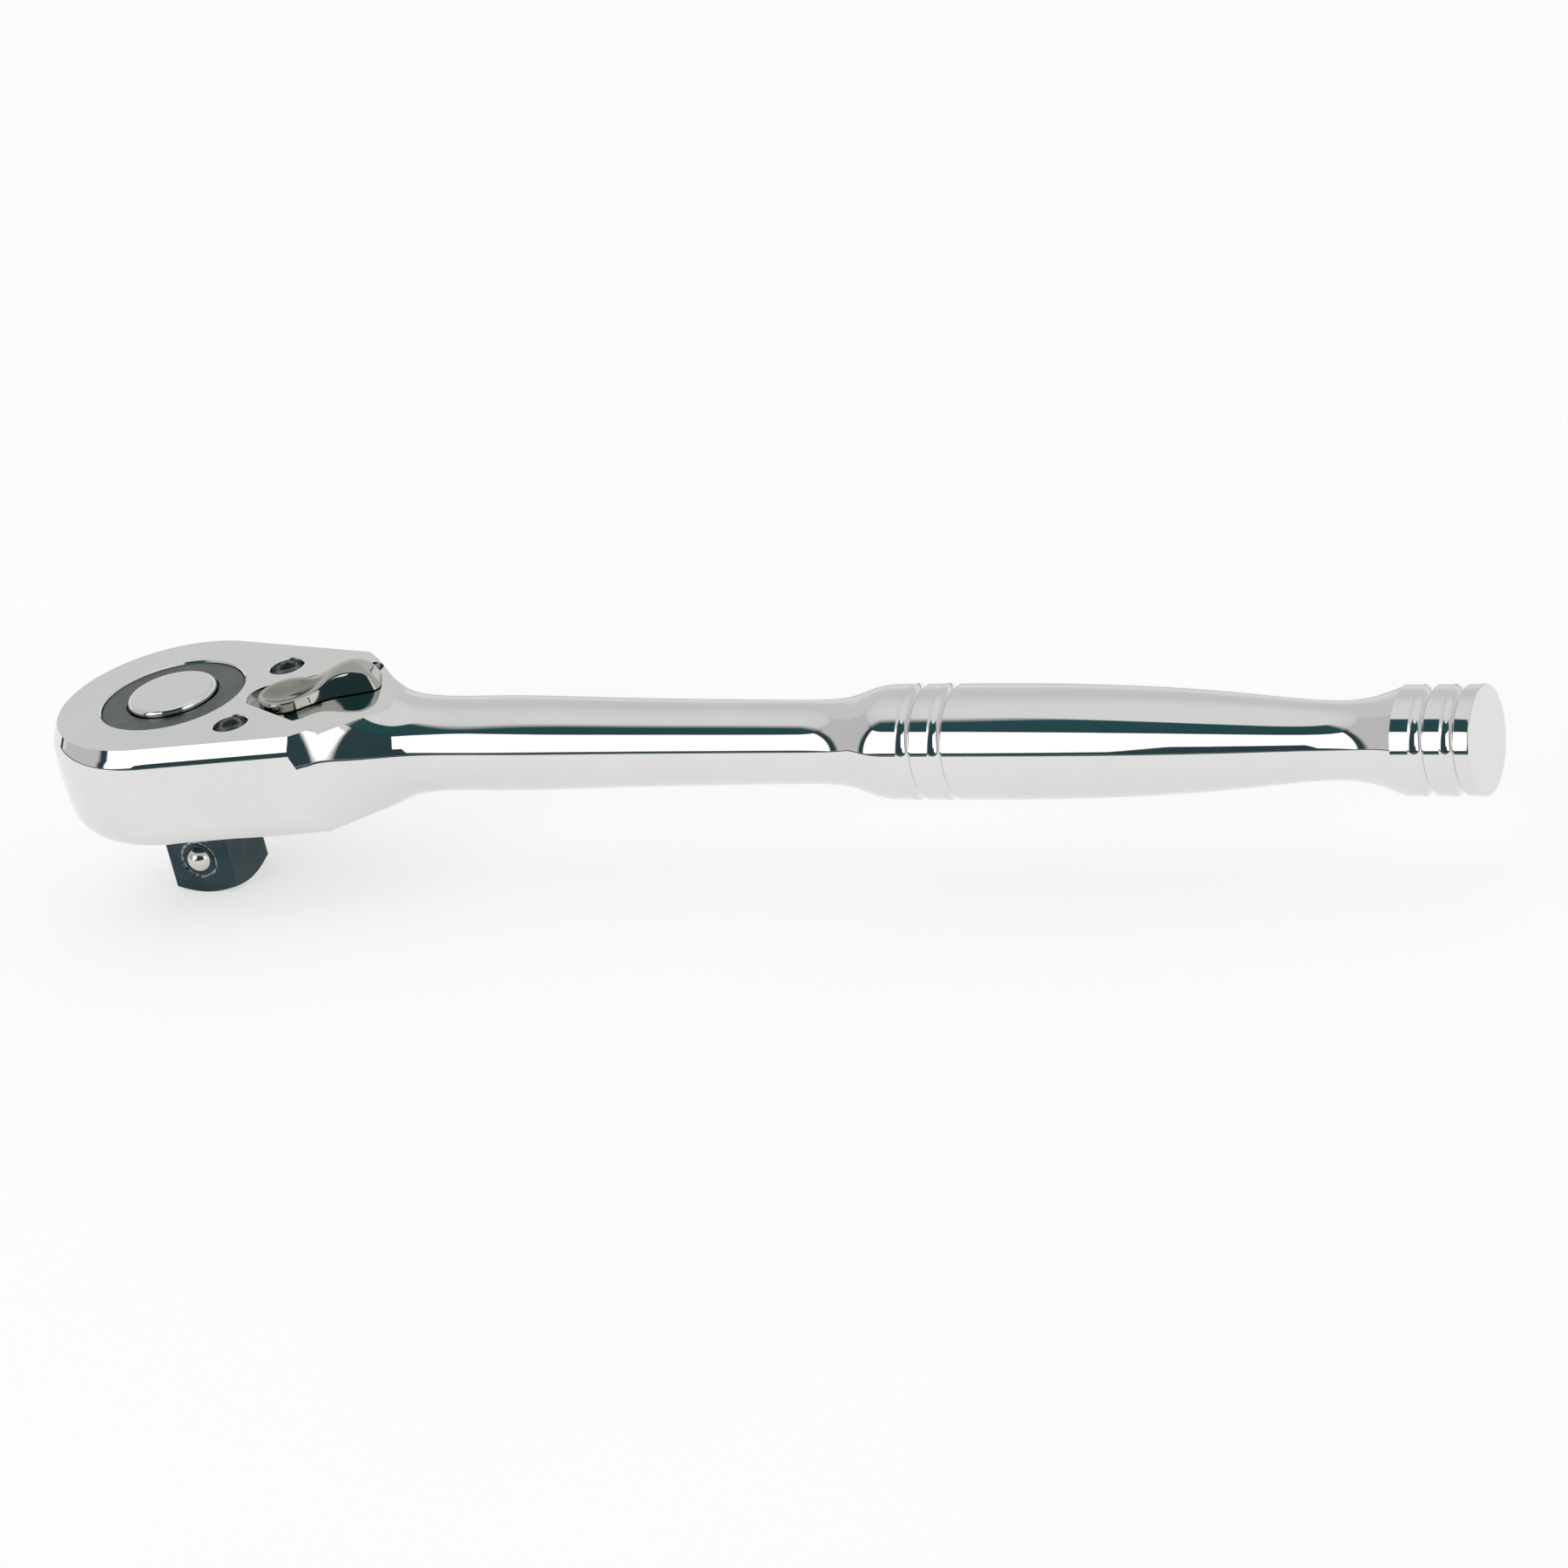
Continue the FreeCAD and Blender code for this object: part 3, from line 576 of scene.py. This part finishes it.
def well(name, outline, *levels):
    """Upright solid whose outline grows with its (depth, grow) levels."""
    return solid(name, [[(x, y, TOP - depth) for x, y in outline(grow)] for depth, grow in levels])


def combine(base, other, operation):
    """Replaces base's mesh by its exact union, difference or intersection with other."""
    tool = base.modifiers.new("combine", "BOOLEAN")
    tool.operation = operation
    tool.solver = "EXACT"
    tool.object = other
    graph = bpy.context.evaluated_depsgraph_get()
    mesh = bpy.data.meshes.new_from_object(base.evaluated_get(graph))
    base.modifiers.clear()
    base.data = mesh
    bpy.data.objects.remove(other)


def drop_end(mesh, x):
    """Deletes the flat face that closes the mesh at x."""
    work = bmesh.new()
    work.from_mesh(mesh)
    ends = [f for f in work.faces if all(abs(v.co.x - x) < 1e-4 for v in f.verts)]
    bmesh.ops.delete(work, geom=ends, context="FACES")
    work.to_mesh(mesh)
    work.free()


def crossbar(name, side_view):
    """Solid right across the head with the given (x, depth) side view."""
    return solid(name, [[(x, y, TOP - depth) for x, depth in side_view] for y in (-CUT_HALF, CUT_HALF)])


def forging_cutters():
    """What is cut from the forging: deck, heel, recess, bore, cavity, plate's seat, holes and chamber."""
    bore_out = HUB_BORE_R + HUB_BORE_EDGE
    cutters = [
        crossbar("deck", [(DECK_RAMP_X, 0), (DECK_START_X, DECK_D), (DECK_END_X, DECK_D), (DECK_END_X, -6),
                          (DECK_RAMP_X, -6)]),
        crossbar("heel", [(HEEL_X, HEAD_T), (HEEL_RAMP_X, HEEL_D), (38, HEEL_D), (38, 20), (HEEL_X, 20)]),
        well("recess", fan_outline, (DECK_D, 0), (RECESS_EDGE, 0), (-OVER, RECESS_EDGE + OVER),
             (-3, RECESS_EDGE + OVER)),
        tower("bore", 0, 0, (CAVITY_TOP_D + OVER, HUB_BORE_R), (HUB_BORE_EDGE, HUB_BORE_R), (0, bore_out),
              (-1, bore_out + 1)),
        tower("cavity", 0, 0, (PLATE_D + OVER, CAVITY_R), (CAVITY_TOP_D, CAVITY_R)),
        well("seat", plate_outline, (17, SEAT_CLEAR), (PLATE_D, SEAT_CLEAR)),
        tower("spindle_hole", PIVOT_X, 0, (CHAMBER_TOP_D + OVER, SPINDLE_HOLE_R), (-1, SPINDLE_HOLE_R)),
    ]
    for side in (-1, 1):
        y = side * SCREW_Y
        rim = (-0.5, SCREW_WELL_R + SCREW_WELL_EDGE + 0.5)
        cutters.append(tower("screw_well", SCREW_X, y, (SCREW_WELL_D, SCREW_WELL_R),
                             (SCREW_WELL_EDGE, SCREW_WELL_R), rim))
        cutters.append(tower("screw_hole", SCREW_X, y, (14, SCREW_HOLE_R),
                             (SCREW_WELL_D - OVER, SCREW_HOLE_R)))
    corners = ((CHAMBER_START_X, -CHAMBER_HALF), (CHAMBER_END_X, -CHAMBER_HALF),
               (CHAMBER_END_X, CHAMBER_HALF), (CHAMBER_START_X, CHAMBER_HALF))
    depths = (PLATE_D + OVER, CHAMBER_TOP_D)
    cutters.append(solid("chamber", [[(x, y, TOP - depth) for x, y in corners] for depth in depths]))
    return cutters


def join_shank(head, shank, x):
    """Sews the shank on to the head where both end at x, and turns millimetres into metres."""
    drop_end(head.data, x)
    drop_end(shank.data, x)
    work = bmesh.new()
    work.from_mesh(head.data)
    work.from_mesh(shank.data)
    bpy.data.objects.remove(shank)
    bmesh.ops.remove_doubles(work, verts=work.verts, dist=JOIN_GAP)
    bmesh.ops.scale(work, vec=(MM, MM, MM), verts=work.verts)
    work.to_mesh(head.data)
    work.free()


def forging():
    """Head, neck and handle in one piece, with the head's bores and pockets."""
    profile = handle_profile()
    split = next(i for i, (x, r) in enumerate(profile) if x > NECK_END_X)
    join_x = profile[split][0]
    neck = lathe("neck", profile[:split + 1])
    combine(neck, head_solid("outline", join_x + 4), "INTERSECT")
    head = head_solid("forging", SHOULDER_X)
    combine(head, neck, "UNION")
    for cutter in forging_cutters():
        combine(head, cutter, "DIFFERENCE")
    join_shank(head, lathe("shank", profile[split:]), join_x)
    mesh = head.data
    mesh.shade_smooth()
    mesh.set_sharp_from_angle(angle=SHARP)
    mesh.materials.clear()
    mesh.materials.append(MATERIALS["chrome"])
    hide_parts("body")
    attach(head, "handle")


forging()


# The lever, in millimetres from its pivot and the top face, with X along its wing

LEVER_REST = math.radians(27)       # stored swung towards +Y
LEVER_FOOT = -0.75
LEVER_HUB_R = 4.1
LEVER_HUB_TOP = 0.55
LEVER_TOP = 2.3
LEVER_END = 12.6
LEVER_HALF = 3.2                    # half width of the wing
LEVER_WAIST = 2.7                   # half width of the waist
LEVER_WAIST_X = 6.6
WING_START_X = 2.0                  # the hub's upright sides turn into the wing's leaning ones over this
WING_FULL_X = 6.0
SPINE_END_X = 9.9                   # the top is skinned inwards to a line from the pivot to here
HUB_LEAN = 0.16                     # how far the sides lean in, and what the wing and the waist add
WING_LEAN = 0.70
WAIST_LEAN = 0.10
WAIST_LEAN_X = 6.2                  # where the waist leans most, and how far along it fades
WAIST_LEAN_FADE = 2.2
HUB_EDGE = 0.28                     # rounding of the upper edge, and what the wing adds
WING_EDGE = 0.22
WING_CROWN = 0.12                   # the wing's top is higher by this along its middle than at its edges
WING_SWELL = 0.02                   # the wing's sides swell out by this half way up
DISH_R = 3.48
DISH_POINT = 5.6                    # where the dish's teardrop comes to a point
DISH_DEPTH = 0.78
DISH_FLATNESS = 2.6                 # a larger number gives a flatter floor and a steeper rim
DISH_SHALLOW = 0.45                 # share of its depth that the dish loses towards its point
DISH_RIM = 0.15                     # strip inside the dish's edge that keeps the lever's own colour, outside the dish's painted shade
SIDE_STEPS = 14
EDGE_STEPS = 8
TOP_STEPS = 30


def ease(value, low, high):
    """0 below low, 1 above high, smooth between."""
    t = min(max((value - low) / (high - low), 0.0), 1.0)
    return t * t * (3 - 2 * t)


def lever_outline():
    """The lever's outline at its foot: wing's end, waisted sides and round hub."""
    corner_x, corner_y = 11.35, 1.95    # centre of the round corner of the wing's end
    hub_start, hub_steps = 67, 40       # where the hub's arc leaves the side, in degrees
    waist = (LEVER_WAIST_X, LEVER_WAIST)
    half = [(LEVER_END, corner_y * k / 6) for k in range(6)]
    half += arc_points((LEVER_END, corner_y), (12.234, 2.834), (corner_x, LEVER_HALF), 10)
    half += bezier_points((corner_x, LEVER_HALF), (9.0, LEVER_HALF), (8.2, LEVER_WAIST), waist, 22)[1:]
    half += bezier_points(waist, (4.9, LEVER_WAIST), (3.2, 3.1), (1.602, 3.774), 22)[1:]
    for k in range(1, hub_steps + 1):
        angle = math.radians(hub_start + (180 - hub_start) * k / hub_steps)
        half.append((LEVER_HUB_R * math.cos(angle), LEVER_HUB_R * math.sin(angle)))
    return half + [(x, -y) for x, y in half[-2:0:-1]]


def lever_crest():
    """Side view of the lever's top from hub to toe, as two rows for np.interp."""
    high = LEVER_TOP
    runs = bezier_points((2.4, LEVER_HUB_TOP), (4.6, LEVER_HUB_TOP), (5.6, high - 0.1), (8.7, high), 24)
    runs += bezier_points((8.7, high), (9.1, high), (9.4, high), (9.7, high - 0.12), 8)[1:]
    runs += bezier_points((9.7, high - 0.12), (11.2, 1.8), (12.4, 0.8), (12.7, LEVER_FOOT), 24)[1:]
    return [x for x, z in runs], [z for x, z in runs]


def dish_inside(x, y):
    """Distance in from the edge of the dish's teardrop, negative outside it."""
    turn = math.acos(DISH_R / DISH_POINT)
    if math.atan2(abs(y), x) > turn:
        return DISH_R - math.hypot(x, y)
    return DISH_R - (x * math.cos(turn) + abs(y) * math.sin(turn))


def lever_column(px, py, crest_x, crest_z):
    """Points from the outline's point at the foot, up the side, over the edge and in to the spine."""
    mx = min(max(px, 0.0), SPINE_END_X)
    reach = math.hypot(mx - px, py)
    ux, uy = (mx - px) / reach, -py / reach
    wing = ease(px, WING_START_X, WING_FULL_X)
    waist = math.exp(-((px - WAIST_LEAN_X) / WAIST_LEAN_FADE) ** 2)
    lean = HUB_LEAN + WING_LEAN * wing + WAIST_LEAN * waist
    edge = HUB_EDGE + WING_EDGE * wing
    crown = WING_CROWN * wing

    def top_at(inset):
        x = px + ux * inset
        share = min((inset - lean) / (reach - lean), 1.0)
        return float(np.interp(x, crest_x, crest_z)) - crown * (1 - share) ** 2

    corner = top_at(lean)
    full = max(corner - LEVER_FOOT, 0.02)
    brow = max(1 - edge / full, 0.1)            # share of the side's height where the edge's round starts
    steps = []                                  # (distance in from the outline, height)
    for k in range(SIDE_STEPS + 1):
        share = brow * k / SIDE_STEPS
        swell = WING_SWELL * wing * math.sin(math.pi * k / SIDE_STEPS)
        steps.append((lean * share - swell, LEVER_FOOT + full * share))
    start, end = (lean * brow, LEVER_FOOT + full * brow), (lean + edge, top_at(lean + edge))
    for k in range(1, EDGE_STEPS + 1):
        t = k / EDGE_STEPS
        d = (1 - t) ** 2 * start[0] + 2 * t * (1 - t) * lean + t * t * end[0]
        steps.append((d, (1 - t) ** 2 * start[1] + 2 * t * (1 - t) * corner + t * t * end[1]))
    first = lean + edge
    for k in range(1, TOP_STEPS + 1):
        d = first + (reach - first) * k / TOP_STEPS
        steps.append((d, top_at(d)))
    return [(px + ux * d, py + uy * d, z) for d, z in steps]


def dished(x, y, z):
    """The point of the lever's top, lowered if it lies in the dish."""
    inside = dish_inside(x, y)
    if inside > 0:
        hollow = 1 - (1 - min(inside, DISH_R) / DISH_R) ** DISH_FLATNESS
        z -= DISH_DEPTH * hollow * (1 - DISH_SHALLOW * ease(x, 2.4, DISH_POINT))
    return x, y, z


def lever_piece():
    """Thumb lever: crowned wing with rounded edges and leaning sides, and a dished hub."""
    crest_x, crest_z = lever_crest()
    columns = [lever_column(px, py, crest_x, crest_z) for px, py in lever_outline()]
    rings = []
    for k in range(len(columns[0])):
        ring = [column[k] for column in columns]
        if k > SIDE_STEPS + EDGE_STEPS:
            ring = [dished(*point) for point in ring]
        rings.append(ring)
    lever = solid("lever", rings[:-1], False)
    work = bmesh.new()
    work.from_mesh(lever.data)
    bmesh.ops.holes_fill(work, edges=[e for e in work.edges if e.is_boundary], sides=0)
    bmesh.ops.recalc_face_normals(work, faces=work.faces)
    for face in work.faces:
        spot = face.calc_center_median()
        looks_up = face.normal.z > 0.5
        # faces of the dish's floor take the darker copy, painted shade for the hollow
        face.material_index = 1 if dish_inside(spot.x, spot.y) > DISH_RIM and looks_up else 0
    place_it = Matrix.Translation((PIVOT_X, 0, TOP)) @ Matrix.Rotation(LEVER_REST, 4, "Z")
    bmesh.ops.transform(work, matrix=Matrix.Scale(MM, 4) @ place_it, verts=work.verts)
    work.to_mesh(lever.data)
    work.free()
    mesh = lever.data
    mesh.shade_smooth()
    mesh.set_sharp_from_angle(angle=SHARP)
    mesh.materials.append(MATERIALS["nickel_lever"])
    mesh.materials.append(MATERIALS["nickel_dish_painted_shade"])
    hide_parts("reverse_lever")
    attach(lever, "lever")


lever_piece()


# The springs get meshes of their own


def springs():
    """Gives each spring a mesh of its own."""
    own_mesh(NODES["release_spring"])
    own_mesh(NODES["plunger_spring"])


springs()


# Studio

DEGREES = 57.2958                   # degrees in a radian
EDGE_FADE = 1.5                     # degrees over which a patch's upper and lower edges fade
CAMERA_GREY = 0.975                 # what the camera sees past the floor
FLOOR_TONE = (0.05, 0.075, 0.08)    # below the horizon

# Patches laid over the backdrop in this order. Each has a left and right heading, a lower and upper height
# and the fade at its sides, all in degrees, and a colour.
PATCHES = (
    (-97.0, -50.0, -1.0, 48.0, 4.0, (0.62, 0.615, 0.61)),       # pale wall on the left
    (50.0, 120.0, -1.0, 60.0, 5.0, (0.80, 0.775, 0.765)),       # pale wall on the right
    (50.0, 78.0, -1.0, 34.0, 5.0, (1.35, 1.33, 1.32)),          # white card in front of it
    (-54.0, 58.0, 41.0, 62.0, 12.0, (0.026, 0.080, 0.086)),     # dark gap above the box
    (-53.0, 50.0, -1.0, 44.0, 4.0, (0.030, 0.062, 0.070)),      # dark surround of the box
)

# The white box over them: the same numbers, and what its lower edge rises by between two headings
BOX = (-45.0, -5.0, -1.0, 40.0, 2.0)
BOX_TONE = (1.7, 1.7, 1.7)
BOX_CLIMB = ((-44.0, -18.5, 5.0), (-18.5, -15.5, 9.0))


def studio_world():
    """Soft studio round the object: pale overhead and backdrop, a white box in front, dark gaps round it."""
    world = bpy.data.worlds.new("studio")
    world.use_nodes = True
    tree = world.node_tree
    tree.nodes.clear()
    out = tree.nodes.new("ShaderNodeOutputWorld")
    back = tree.nodes.new("ShaderNodeBackground")
    tree.links.new(back.outputs[0], out.inputs[0])
    x, y, z = parts_of(tree, tree.nodes.new("ShaderNodeTexCoord").outputs["Generated"])
    # heading from -Y towards +X, and height above the horizon, both in degrees
    turn = maths(tree, "ARCTAN2", x, maths(tree, "MULTIPLY", y, -1.0))
    heading = maths(tree, "MULTIPLY", turn, DEGREES)
    height = maths(tree, "MULTIPLY", maths(tree, "ARCSINE", z), DEGREES)

    def step(value, start, end):
        return spread(tree, value, start, end, 0.0, 1.0)

    def both(a, b):
        return maths(tree, "MULTIPLY", a, b)

    def sector(left, right, low, high, soft):
        """1 between two headings and two heights, fading over soft degrees at the sides."""
        inner_left = step(heading, left - soft / 2, left + soft / 2)
        inner_right = step(heading, right + soft / 2, right - soft / 2)
        upright = both(step(height, low, low + EDGE_FADE), step(height, high + EDGE_FADE, high))
        return both(both(inner_left, inner_right), upright)

    backdrop = blend_colour(tree, step(height, 14.0, 26.0), (0.83, 0.83, 0.825), (0.70, 0.70, 0.695))
    overhead = blend_colour(tree, step(height, 52.0, 66.0), (0.75, 0.75, 0.75), (0.84, 0.84, 0.84))
    colour = blend_colour(tree, step(height, 47.0, 52.0), backdrop, overhead)
    for left, right, low, high, soft, tone in PATCHES:
        colour = blend_colour(tree, sector(left, right, low, high, soft), colour, tone)
    slow, steep = (spread(tree, heading, start, end, 0.0, gain) for start, end, gain in BOX_CLIMB)
    lift = maths(tree, "SUBTRACT", height, maths(tree, "ADD", slow, steep))
    window = both(sector(*BOX), step(lift, 0.0, EDGE_FADE))
    colour = blend_colour(tree, window, colour, BOX_TONE)
    colour = blend_colour(tree, step(height, 0.0, -0.5), colour, FLOOR_TONE)
    ray = tree.nodes.new("ShaderNodeLightPath")
    colour = blend_colour(tree, ray.outputs["Is Camera Ray"], colour, (CAMERA_GREY,) * 3)
    tree.links.new(colour, back.inputs["Color"])
    bpy.context.scene.world = world


def studio_floor():
    """Round floor sheet at the object's lowest point."""
    points = [(0.0, 0.0, 0.0)]
    for k in range(FLOOR_SIDES):
        angle = 2 * math.pi * k / FLOOR_SIDES
        points.append((FLOOR_RADIUS * math.cos(angle), FLOOR_RADIUS * math.sin(angle), 0.0))
    faces = [(0, k + 1, (k + 1) % FLOOR_SIDES + 1) for k in range(FLOOR_SIDES)]
    mesh = bpy.data.meshes.new("studio_floor")
    mesh.from_pydata(points, [], faces)
    floor = bpy.data.objects.new("studio_floor", mesh)
    floor.location.z = CAD_BOX[0].z
    bpy.context.scene.collection.objects.link(floor)
    mesh.materials.append(floor_material())


def soft_light(name, spot, size, power):
    """Large square light that looks where the camera looks."""
    data = bpy.data.lights.new(name, "AREA")
    data.size = size
    data.energy = power
    light = bpy.data.objects.new(name, data)
    light.location = spot
    light.rotation_mode = "QUATERNION"
    light.rotation_quaternion = (VIEW_AIM - spot).to_track_quat("-Z", "Y")
    light.visible_glossy = False
    bpy.context.scene.collection.objects.link(light)


def make_camera():
    """Camera at VIEW_DISTANCE from VIEW_AIM, rolled about its own axis."""
    azimuth, elevation, roll = (math.radians(a) for a in (VIEW_AZ, VIEW_EL, VIEW_ROLL))
    away = Vector((math.sin(azimuth) * math.cos(elevation), -math.cos(azimuth) * math.cos(elevation),
                   math.sin(elevation)))
    right = (-away).cross(Vector((0, 0, 1))).normalized()
    up = right.cross(-away)
    across = right * math.cos(roll) + up * math.sin(roll)
    upward = up * math.cos(roll) - right * math.sin(roll)
    data = bpy.data.cameras.new("camera")
    data.lens = LENS
    data.sensor_width = SENSOR
    data.clip_start = 0.01
    camera = bpy.data.objects.new("camera", data)
    turn = Matrix((across, upward, away)).transposed().to_4x4()
    camera.matrix_world = Matrix.Translation(VIEW_AIM + away * VIEW_DISTANCE * MM) @ turn
    bpy.context.scene.collection.objects.link(camera)
    bpy.context.scene.camera = camera


bpy.context.scene.view_settings.view_transform = "Standard"
make_camera()
studio_world()
studio_floor()
soft_light("key", KEY_SPOT, KEY_SIZE, KEY_POWER)
